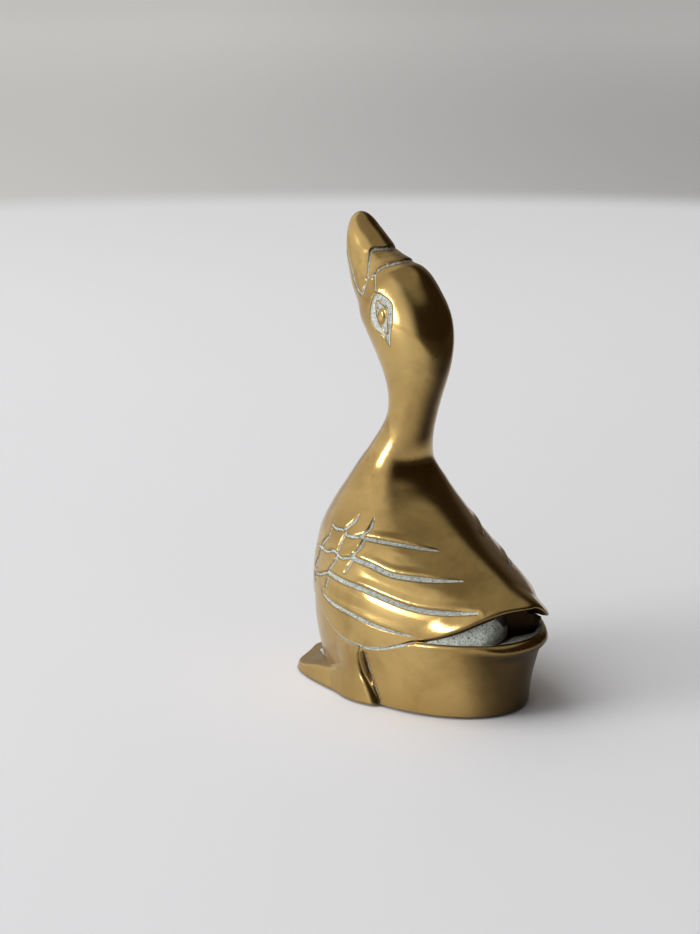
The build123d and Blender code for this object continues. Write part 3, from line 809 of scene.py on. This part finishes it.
    # inside: the lip's top, the hollow, and the seat of the closing plate
    innerSide = v["lipInsetSide"] + v["lipWall"]
    innerBack = v["lipInsetBack"] + v["lipWall"] + v["hollowBehindKeel"]
    lipTop, hollowTop = placeAtHeight(v["lipTop"]), placeAtHeight(v["hollowTop"])
    for row in (stemPoints(lipTop, turns, v["lipInsetSide"], v["lipInsetBack"], plainRear),
                stemPoints(lipTop, turns, innerSide, innerBack, plainRear),
                stemPoints(hollowTop, turns, innerSide, innerBack, plainRear),
                bellyPoints(v["bellyWallTop"], turns, v["bellyWall"]),
                bellyPoints(v["seatDepth"], turns, v["bellyWall"]),
                bellyPoints(v["seatDepth"], turns, v["seatWall"]),
                bellyPoints(underside, turns, v["seatWall"])):
        body.take(row, 0.0, v["insideTarnish"])
    return body.build("lowerBodyCasting", loops=True)


# The crevice behind the leg: its opening, the seam below it and the residue along its rear edge. The
# darkening the cut puts in the crevice is painted shade
creviceLine = ([(16.5, -0.1, 10.8), (16.4, -0.2, 9.2), (16.1, 0.1, 7.2), (15.7, 0.8, 5.2), (15.4, 1.4, 3.8)],
               0.85, 0, 2.0, 2.5)
creviceCut = {**plainCut, "depth": 1.6, "waver": 0.15, "residue": 0.0, "seed": 7.0}
legSeam = ([(15.5, 1.2, 4.2), (15.3, 1.7, 2.8), (15.1, 2.5, 0.7)], 0.30, 0, 0.5, 0.5)
seamCut = {**plainCut, "depth": 0.3, "waver": 0.15, "residue": 0.0, "seed": 8.0}
crevicePowder = ([(16.5, 0.8, 11.0), (16.4, 0.9, 9.4), (16.1, 1.3, 7.2), (15.7, 1.9, 5.2), (15.4, 2.3, 3.8),
                  (15.1, 3.3, 0.9)], 0.22, 0, 1.5, 1.0)
powderCut = {**plainCut, "depth": -0.05, "waver": 0.5, "residue": 0.55, "seed": 9.0}

lower = buildLowerBody()
for line, cut in ((creviceLine, creviceCut), (legSeam, seamCut), (crevicePowder, powderCut)):
    chase(lower, [line], cut)
settle(lower, "lower_body_casting", brass)

# Legs and feet, as one smooth solid worked out on a fine lattice. Crevice and topLine are seen from the
# side and the outline from above, and the left leg is the one that is built
legAndFoot = {
    "cell": 0.26, "low": (1.5, -26.0, -0.2), "high": (19.0, 4.0, 14.0),
    "crevice": [(0.0, 2.3), (0.6, 2.1), (3.4, 0.8), (4.6, 0.1), (6.2, -0.9), (8.0, -1.3), (9.8, -1.1),
                (11.1, -0.5), (11.6, -0.4)],
    "proudAtFloor": 0.95, "proudAtTop": 0.45, "proudTop": 11.0, "rearRounding": 1.1,
    "frontSink": 0.9, "swellRun": (-15.5, -3.0),
    "outline": [(10.6, -22.3), (12.6, -19.2), (13.7, -15.2), (14.4, -11.4), (15.0, -7.5), (15.8, -3.6),
                (14.0, 1.0), (8.0, 1.0), (4.6, -8.0), (4.2, -16.0), (4.4, -23.3), (7.2, -23.2)],
    "outlineGrowth": 0.9, "sideSlope": 0.30, "floorRounding": 0.25,
    "topLine": [(-24.0, 3.0), (-23.0, 3.2), (-20.0, 3.9), (-16.0, 5.2), (-11.0, 6.2)],
    "topFall": 0.28, "topInner": 6.0, "topRounding": 0.35, "topSteepness": 0.95,
    "creaseJoin": 0.35, "join": 2.4, "joinRun": (-14.0, -8.0),
    "inside": 2.2, "topLimit": 12.6, "wingGap": 0.05, "middleGap": 2.0,
    "seamResidue": 0.5, "seamBand": (0.8, 0.3), "rearDarkening": 0.7, "rearBand": (0.5, 0.05),
    "soleDarkening": 0.4, "soleBand": (0.9, 0.45),
}


# The larger of two fields with its corner rounded, and the smaller with its corner filled
def roundedMax(a, b, r):
    h = np.clip(0.5 + 0.5 * (a - b) / r, 0, 1)
    return b + (a - b) * h + r * h * (1 - h)


def filledMin(a, b, r):
    return -roundedMax(-a, -b, r)


# Distance to a closed outline, below zero inside it
def outlineDistance(x, y, corners):
    corners = np.array(corners, float)
    nearest, inside = np.full(x.shape, 1e9), np.zeros(x.shape, bool)
    for (ax, ay), (bx, by) in zip(corners, np.roll(corners, -1, axis=0)):
        ex, ey = bx - ax, by - ay
        t = np.clip(((x - ax) * ex + (y - ay) * ey) / (ex * ex + ey * ey), 0, 1)
        nearest = np.minimum(nearest, np.hypot(x - ax - t * ex, y - ay - t * ey))
        crosses = (ay > y) != (by > y)
        inside ^= crosses & (x < ex * (y - ay) / (ey if ey else 1e-9) + ax)
    return np.where(inside, -nearest, nearest)


def smoothOutlineDistance(x, y, corners, steps=6):
    knots = np.arange(len(corners) + 1, dtype=float)
    fine = np.linspace(0, len(corners), steps * len(corners), endpoint=False)
    closed = np.array(list(corners) + [corners[0]], float)
    return outlineDistance(x, y, splineWeights(knots, fine, closed=True) @ closed)


def bellyDistance(x, y, z):
    sections = np.array(bellySections)
    front, rear, wide, half = (np.interp(z, sections[:, 0], sections[:, k]) for k in range(1, 5))
    depth = np.where(y > wide, rear - wide, wide - front)
    a, b = x / half, (y - wide) / depth
    reach = np.sqrt(a * a + b * b) + 1e-9
    slope = np.sqrt((a / half) ** 2 + (b / depth) ** 2) / reach
    return (reach - 1) / np.maximum(slope, 1e-6)


def legRear(z):
    return np.interp(z, *np.array(legAndFoot["crevice"]).T)


def legField(x, y, z):
    v = legAndFoot
    belly = bellyDistance(x, y, z)
    proud = np.interp(z, (underside, v["proudTop"]), (v["proudAtFloor"], v["proudAtTop"]))
    swell = -v["frontSink"] + (proud + v["frontSink"]) * smooth(y, *v["swellRun"])
    column = roundedMax(belly - swell, y - legRear(z), v["rearRounding"])
    outline = smoothOutlineDistance(x, y, v["outline"]) - v["outlineGrowth"]
    height = np.interp(y, *np.array(v["topLine"]).T) - v["topFall"] * (x - v["topInner"])
    sides = outline + v["sideSlope"] * (z - underside)
    foot = roundedMax(sides, (z - height) * v["topSteepness"], v["topRounding"])
    join = v["creaseJoin"] + (v["join"] - v["creaseJoin"]) * smooth(y, *v["joinRun"])
    both = filledMin(column, foot, join)
    both = roundedMax(both, underside - z, v["floorRounding"])
    both = np.maximum(both, z - np.minimum(edgeHeight(y) - v["wingGap"], v["topLimit"]))
    both = np.maximum(both, -(belly + v["inside"]))
    return np.maximum(both, v["middleGap"] - x)


# How the lattice's points are drawn on to the surface
settling = {"probe": 0.02, "repeats": 12, "longest": 0.3, "share": 0.9, "leastSlope": 0.25}


# A closed mesh of the places where a field is below zero, each point then moved on to the surface
def fieldMesh(name, field, low, high, cell):
    axes = [np.arange(a, b + cell, cell) for a, b in zip(low, high)]
    lattice = np.meshgrid(*axes, indexing="ij")
    inside = field(*lattice) < 0
    corner = np.stack(np.meshgrid(*[np.arange(len(a) - 1) for a in axes], indexing="ij"), -1)
    nx, ny, nz = (len(a) - 1 for a in axes)
    total = sum(inside[dx:nx + dx, dy:ny + dy, dz:nz + dz].astype(int)
                for dx in (0, 1) for dy in (0, 1) for dz in (0, 1))
    mixed = (total > 0) & (total < 8)
    number = np.full(mixed.shape, -1)
    number[mixed] = np.arange(mixed.sum())
    points = (corner[mixed] + 0.5) * cell + np.array([a[0] for a in axes])
    faces = []
    for axis in range(3):
        ahead = [slice(None)] * 3
        ahead[axis] = slice(1, None)
        behind = [slice(None)] * 3
        behind[axis] = slice(None, -1)
        change = inside[tuple(ahead)] != inside[tuple(behind)]
        others = [k for k in range(3) if k != axis]
        for place in np.argwhere(change):
            if min(place[k] for k in others) < 1:
                continue
            quad = []
            for du, dw in ((0, 0), (-1, 0), (-1, -1), (0, -1)):
                at = place.copy()
                at[others[0]] += du
                at[others[1]] += dw
                quad.append(int(number[tuple(at)]))
            faces.append(quad)
    s = settling
    for _ in range(s["repeats"]):
        value = field(*points.T)
        probes = s["probe"] * np.eye(3)
        slope = np.stack([(field(*(points + step).T) - field(*(points - step).T)) / (2 * s["probe"])
                          for step in probes], 1)
        size = np.maximum((slope ** 2).sum(1), s["leastSlope"])
        points -= np.clip(value / size, -s["longest"], s["longest"])[:, None] * slope * s["share"]
    mesh = bpy.data.meshes.new(name)
    mesh.from_pydata((points * mm).tolist(), [], faces)
    return tidyMesh(inScene(name, mesh), meshTidy["latticeSharpAngle"])


def addLegFinish(piece):
    v = legAndFoot
    y, z = (np.array([p.co[1:] for p in piece.data.vertices]) / mm).T
    seam = smooth(edgeHeight(y) - z, *v["seamBand"]) * v["seamResidue"]
    # the leg's rear face inside the crevice is painted dark: painted shade; the sole is darker towards the
    # table
    rear = v["rearDarkening"] * smooth(legRear(z) - y, *v["rearBand"])
    sole = v["soleDarkening"] * smooth(z, *v["soleBand"])
    for field, values in (("residue", seam), ("tarnish", np.maximum(rear, sole))):
        store = piece.data.attributes.new(field, "FLOAT", "POINT")
        store.data.foreach_set("value", values.astype(np.float32))


def mirroredPiece(piece, name):
    mesh = piece.data.copy()
    mesh.transform(Matrix.Scale(-1, 4, (1, 0, 0)))
    mesh.flip_normals()
    return inScene(name, mesh)


creaseLine = ([(7.2, -20.6, 3.5), (8.0, -19.5, 3.7), (9.0, -18.0, 3.8), (10.6, -15.4, 4.0),
               (12.6, -12.4, 4.1)], 0.32, 0, 0.0, 3.5)
creaseCut = {**plainCut, "depth": 0.25, "waver": 0.5, "residue": 1.0, "seed": 5.0}

leftLeg = fieldMesh("leftLegAndFoot", legField, legAndFoot["low"], legAndFoot["high"], legAndFoot["cell"])
addLegFinish(leftLeg)
chase(leftLeg, [creaseLine], creaseCut, mirrored=False)
rightLeg = mirroredPiece(leftLeg, "rightLegAndFoot")
settle(leftLeg, "left_leg_and_foot", brass)
settle(rightLeg, "right_leg_and_foot", brass)

# Braze filler round the neck's root. Its columns and the head's are even round one section of the stem
neckBraze = {"thickness": 0.5, "rows": 7, "columns": 250, "evenSection": 17}
evenPlace = stemPlaces[neckBraze["evenSection"]]
headTurns = evenTurns(lambda t: stemPoints(evenPlace, t), neckBraze["columns"])
brazeTopPlace = bodyTopPlace + neckBraze["thickness"]


def buildNeckBraze():
    band = RingRows(len(headTurns))
    for share in np.arange(neckBraze["rows"]) / (neckBraze["rows"] - 1):
        band.take(stemPoints(bodyTopPlace + neckBraze["thickness"] * share, headTurns))
    return band.build("neckBraze", caps=(True, True))


settle(buildNeckBraze(), "neck_braze_ring", brazeFiller)

# Head, neck and bill
headAndNeck = {
    "rows": 250, "tipRows": 14, "tipRun": 2.0, "tipGap": 0.002, "eyeSideFrom": 2.0,
    "darkReflectionTurn": 86.0, "darkReflectionSpread": 28.0, "darkReflectionDepth": 0.9,
    "darkReflectionLow": (44.0, 48.0), "darkReflectionHigh": (66.0, 61.0),
}
# The eye's lines are seen from the side: place along Y, height
eyeShape = {
    "outer": [(-6.1, 74.6), (-3.5, 73.6), (-2.6, 72.0), (-2.35, 69.8), (-2.7, 67.3), (-3.1, 65.3),
              (-3.9, 66.9), (-5.6, 67.8), (-6.95, 69.0), (-7.45, 70.8), (-7.05, 73.3)],
    "lid": [(-5.9, 73.4), (-4.2, 72.4), (-3.45, 71.0), (-3.2, 69.2), (-3.3, 67.6), (-4.6, 68.6), (-5.6, 70.2),
            (-6.0, 71.8)],
    "pupil": (-4.65, 70.7), "pupilHalf": (0.85, 1.45), "pupilRise": 0.35, "ringDepth": 0.08,
    "sink": 0.32, "lidRise": 0.26, "lidHalf": 0.22,
    "blend": 0.25, "bossRange": (1.15, 0.55), "ringInner": (1.0, 1.25), "ringOuter": (1.75, 1.35),
    "powder": 0.95, "lidPowderLoss": 0.9, "edgeDarkening": 0.6, "ringTarnish": 0.8, "lidTarnish": 0.65,
}
crownStep = ([(-0.01, -5.6, 79.6), (1.6, -6.0, 79.5), (2.9, -6.5, 79.4), (3.8, -7.4, 79.1), (4.4, -7.9, 78.7),
              (5.6, -7.9, 77.2), (6.4, -7.2, 76.1), (6.9, -6.5, 74.6)], 0.22, 1, 0, 0.4)
billBase = ([(-0.01, -9.6, 81.7), (0.8, -9.7, 81.8), (2.0, -10.3, 81.7), (3.1, -11.2, 81.4),
             (3.6, -11.1, 80.7), (4.6, -10.6, 79.0), (5.4, -10, 77.4), (5.9, -9.6, 75.8),
             (6.6, -10.2, 73.8)], 0.24, 1, 0, 0.5)
tickLine = ([(5.6, -9.9, 76.7), (5.8, -9.0, 77.3), (5.7, -8.1, 77.9)], 0.22, 0, 0, 0.4)
mouthLine = ([(-0.01, -19.3, 84.2), (1.2, -19.0, 83.6), (2.2, -18.4, 82.3), (3.2, -17.4, 80.7),
              (4.5, -14.9, 77.7), (5.1, -13.4, 75.3), (6.6, -10.2, 73.8)], 0.26, 0, 0, 0.4)
headCut = {
    "depth": 0.3, "swell": 0.10, "reach": 1.2, "dip": 0.22, "waver": 0.7, "residue": 0.72, "seed": 12.0,
}


def buildHead():
    v, e = headAndNeck, eyeShape
    tip = stemPlaces[-1]
    tipTurns = np.linspace(0, math.pi / 2, v["tipRows"])[1:]
    places = np.concatenate([np.linspace(brazeTopPlace, tip - v["tipRun"], v["rows"]),
                             tip - v["tipRun"] * (1 - np.sin(tipTurns))])
    places[-1] = tip - v["tipGap"]
    grid = stemPoints(places[:, None], headTurns[None, :])
    x, y, z = grid[..., 0], grid[..., 1], grid[..., 2]
    side = np.abs(x) > v["eyeSideFrom"]
    outer = smoothOutlineDistance(y, z, e["outer"])
    lid = smoothOutlineDistance(y, z, e["lid"])
    pupil = np.hypot((y - e["pupil"][0]) / e["pupilHalf"][0], (z - e["pupil"][1]) / e["pupilHalf"][1])
    sunk = smooth(outer, e["blend"], -e["blend"]) * side
    ridge = np.exp(-(lid / e["lidHalf"]) ** 2) * side
    boss = smooth(pupil, *e["bossRange"]) * side
    ring = smooth(pupil, *e["ringInner"]) * smooth(pupil, *e["ringOuter"])
    shift = -e["sink"] * sunk + e["lidRise"] * ridge * sunk + e["pupilRise"] * boss
    shift = shift - e["ringDepth"] * ring * side
    onLid = e["lidPowderLoss"] * smooth(ridge, 0.35, 0.8)
    powder = sunk * (1 - onLid) * (1 - smooth(pupil, 1.2, 0.95)) * e["powder"]
    eyeEdge = e["edgeDarkening"] * smooth(np.abs(outer), 0.35, 0.1) * side
    dark = np.maximum(eyeEdge, e["ringTarnish"] * ring * side)
    dark = np.maximum(dark, e["lidTarnish"] * ridge * sunk)
    # a painted dark reflection: a dark streak down the back of the neck, standing for the room's dark side
    # mirrored in the brass
    aside = (headTurns - v["darkReflectionTurn"] + 180) % 360 - 180
    darkReflection = v["darkReflectionDepth"] * np.exp(-(aside / v["darkReflectionSpread"]) ** 2)[None, :]
    dark = np.maximum(dark, darkReflection * smooth(z, *v["darkReflectionLow"]) * smooth(z, *v["darkReflectionHigh"]))
    rows = list(grid + gridNormals(grid) * shift[..., None])
    fields = {"residue": list(powder), "tarnish": list(dark)}
    return ringMesh("headAndNeckCasting", rows, caps=(True, True), fields=fields)


head = buildHead()
chase(head, [crownStep, billBase, tickLine, mouthLine], headCut)
settle(head, "head_and_neck_casting", brass)

# Closing plate and pad
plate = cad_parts["base_plate"]
plate.data.materials.clear()
plate.data.materials.append(rolledBrass())

# The pad's rings: share of its thickness, and how far each is drawn in
feltPad = {
    "thickness": 0.8, "inset": 2.5, "columns": 240, "ragged": 0.12, "seed": 4,
    "rings": [(0.0, 0.25), (0.075, 0.08), (0.25, 0.0), (0.625, 0.02), (0.875, 0.08), (1.0, 0.25)],
}


def buildFeltPad():
    v = feltPad
    rng = np.random.default_rng(v["seed"])
    turns = evenTurns(lambda t: bellyPoints(underside, t), v["columns"])
    ragged = rng.normal(0, v["ragged"], v["columns"])
    ragged = (ragged + np.roll(ragged, 1) + np.roll(ragged, -1)) / 3
    rows = []
    for share, drawn in v["rings"]:
        row = bellyPoints(underside, turns, v["inset"] + drawn)
        spread = row - bellyPoints(underside, turns, v["inset"] + 1.0)
        row = row + spread * (ragged * (1 if 0 < share < 1 else 0.5))[:, None]
        row[:, 2] = v["thickness"] * share
        rows.append(row)
    return ringMesh("feltPad", rows, caps=(True, True))


settle(buildFeltPad(), "felt_pad", pressedFelt())

# Camera at the photograph's viewpoint: angles in degrees, distance in millimetres
viewpoint = {
    "azimuth": 135.0, "pitch": 15.0, "distance": 415.0, "focalPixels": 2200.0,
    "originPixel": (424.5, 683.0), "frame": (700, 934), "nearest": 0.01, "farthest": 20.0,
}


def placeCamera():
    v = viewpoint
    a, p = math.radians(v["azimuth"]), math.radians(v["pitch"])
    back = Vector((math.sin(a) * math.cos(p), -math.cos(a) * math.cos(p), math.sin(p)))
    right = Vector((math.cos(a), math.sin(a), 0))
    up = back.cross(right)
    dx = (v["originPixel"][0] - v["frame"][0] / 2) / v["focalPixels"]
    dy = (v["frame"][1] / 2 - v["originPixel"][1]) / v["focalPixels"]
    camera = inScene("camera", bpy.data.cameras.new("camera"))
    camera.data.lens = v["focalPixels"] / v["frame"][1] * camera.data.sensor_width
    camera.data.clip_start, camera.data.clip_end = v["nearest"], v["farthest"]
    camera.matrix_world = Matrix((
        (right.x, up.x, back.x, 0), (right.y, up.y, back.y, 0), (right.z, up.z, back.z, 0), (0, 0, 0, 1)))
    camera.location = -(-back + dx * right + dy * up) * v["distance"] * mm
    bpy.context.scene.camera = camera
    print("camera placed at", [round(c, 3) for c in camera.location])
    return back, right


cameraBack, cameraRight = placeCamera()
levelBack = Vector((cameraBack.x, cameraBack.y, 0)).normalized()

# Table and the wall beyond it, in metres: one round sheet whose colours change with the distance, its far
# part glowing as painted light for the wall
table = {
    "radius": 4.0, "sides": 96, "roughness": 0.7, "weaveScale": 900.0,
    "farEdge": 0.655, "farSoftness": 0.035, "colour": (0.88, 0.88, 0.895, 1),
    "nearShadedColour": (0.75, 0.75, 0.765, 1), "nearRun": (-0.15, 0.50), "cloudScale": 9.0, "cloudShare": 0.1,
    "beyondLitLeft": (0.70, 0.70, 0.68, 1), "beyondShadedRight": (0.50, 0.50, 0.49, 1), "beyondSpread": 0.22,
    "wallGlow": (0.13, 0.13, 0.125, 1), "wallGlowRun": (0.72, 2.0), "noGlow": (0, 0, 0, 1),
    "rightEdge": 0.105, "rightSlope": 0.17, "rightSoftness": 0.035, "paintedShadeRightOfTable": (0.05, 0.035, 0.02, 1),
}


def buildTable():
    v = table
    mesh = bpy.data.meshes.new("tableTop")
    work = bmesh.new()
    bmesh.ops.create_circle(work, cap_ends=True, segments=v["sides"], radius=v["radius"])
    bmesh.ops.recalc_face_normals(work, faces=work.faces)
    work.to_mesh(mesh)
    work.free()
    material, desk, place = shaderDesk("paleTable")
    away = desk.add("ShaderNodeVectorMath", {"operation": "LENGTH"}, {0: place}, out="Value")
    aside = desk.vector("DOT_PRODUCT", place, tuple(cameraRight), out="Value")
    behind = desk.vector("DOT_PRODUCT", place, tuple(-levelBack), out="Value")

    def around(value, edge, softness):
        return desk.step(value, edge - softness, edge + softness)

    far = around(away, v["farEdge"], v["farSoftness"])
    # the wall beyond is painted lighter on the left, where the light comes from, and darker on the right:
    # painted light and shade
    beyond = desk.mixColour(around(aside, 0.0, v["beyondSpread"]), v["beyondLitLeft"], v["beyondShadedRight"])
    # the table is painted darker towards the camera: painted shade
    cloudy = behind + desk.noise(place, v["cloudScale"], 2.0) * v["cloudShare"]
    near = desk.mixColour(desk.step(cloudy, *v["nearRun"]), v["nearShadedColour"], v["colour"])
    # past a line to the right of the picture, running away from the camera, the sheet is painted near black:
    # painted shade standing for the dark room that the brass reflects there
    darkRightShare = around(aside - behind * v["rightSlope"], v["rightEdge"], v["rightSoftness"])
    glow = desk.mixColour(desk.step(away, *v["wallGlowRun"]) * (1 - darkRightShare), v["noGlow"], v["wallGlow"])
    colour = desk.mixColour(darkRightShare, desk.mixColour(far, near, beyond), v["paintedShadeRightOfTable"])
    bump = desk.bump(0.15, 0.05, desk.noise(place, v["weaveScale"], 2.0))
    finishSurface(desk, {"Base Color": colour, "Roughness": v["roughness"], "Normal": bump,
                         "Emission Color": glow, "Emission Strength": 1.0})
    mesh.materials.append(material)
    top = inScene("tableTop", mesh)
    print("table built, radius", v["radius"])


buildTable()

# The room's colours, and the lights: turns and rises in degrees, distances and sizes in metres
roomLight = {
    "leftGlow": (0.92, 0.92, 0.94, 1), "rightShade": (0.030, 0.020, 0.012, 1),
    "zenith": (0.34, 0.33, 0.31, 1), "behind": (0.22, 0.20, 0.18, 1),
    "leftTurn": 95.0, "leftRun": (-0.25, 0.30), "zenithRun": (0.85, 0.99), "zenithLean": 0.14,
    "behindTurn": (180.0, 10.0), "behindRun": (0.75, 1.0), "behindTone": 0.8,
    "aim": Vector((0, 0, 0.04)),
}
# Name, turn, rise, distance, size, power, and whether it is seen in reflections and as diffuse light
lamps = [
    ("daylight", 73.0, 14.5, 1.0, (0.50, 0.30), 6.4, False, True),
    ("windowGlow", 50.0, 18.0, 0.99, (0.34, 0.34), 3.6, True, False),
    ("windowGlint", 50.0, 18.0, 0.98, (0.14, 0.14), 1.3, True, False),
    ("overhead", 80.0, 62.0, 2.4, (1.6, 1.6), 22.0, False, True),
]


# A turn of 0 is towards the camera, and a positive one goes to the picture's left
def worldDirection(turn, rise):
    t, r = math.radians(turn), math.radians(rise)
    return (levelBack * math.cos(t) - cameraRight * math.sin(t)) * math.cos(r) + Vector((0, 0, math.sin(r)))


def paintRoom():
    v = roomLight
    world = bpy.data.worlds.new("studio")
    world.use_nodes = True
    world.node_tree.nodes.clear()
    desk = NodeDesk(world.node_tree)
    look = desk.add("ShaderNodeTexCoord", out="Generated")

    def towards(turn, rise):
        return desk.vector("DOT_PRODUCT", look, tuple(worldDirection(turn, rise)), out="Value")

    left = desk.step(towards(v["leftTurn"], 0.0), *v["leftRun"])
    high = desk.step(desk.heightOf(look) + (1 - left) * v["zenithLean"], *v["zenithRun"])
    back = desk.step(towards(*v["behindTurn"]), *v["behindRun"])
    colour = desk.mixColour(left, v["rightShade"], v["leftGlow"])
    colour = desk.mixColour(back * v["behindTone"], colour, v["behind"])
    colour = desk.mixColour(high, colour, v["zenith"])
    shade = desk.add("ShaderNodeBackground", None, {"Color": colour, "Strength": 1.0})
    desk.add("ShaderNodeOutputWorld", None, {"Surface": shade}, out=None)
    bpy.context.scene.world = world


def hangLamps():
    for name, turn, rise, distance, size, power, glossy, diffuse in lamps:
        light = inScene(name, bpy.data.lights.new(name, "AREA"))
        light.data.shape = "RECTANGLE"
        light.data.size, light.data.size_y = size
        light.data.energy = power
        light.location = worldDirection(turn, rise) * distance
        light.rotation_mode = "QUATERNION"
        light.rotation_quaternion = (light.location - roomLight["aim"]).to_track_quat("Z", "Y")
        light.visible_glossy, light.visible_diffuse = glossy, diffuse
        print("light", name, "power", power)


paintRoom()
hangLamps()
bpy.context.scene.view_settings.view_transform = "Standard"
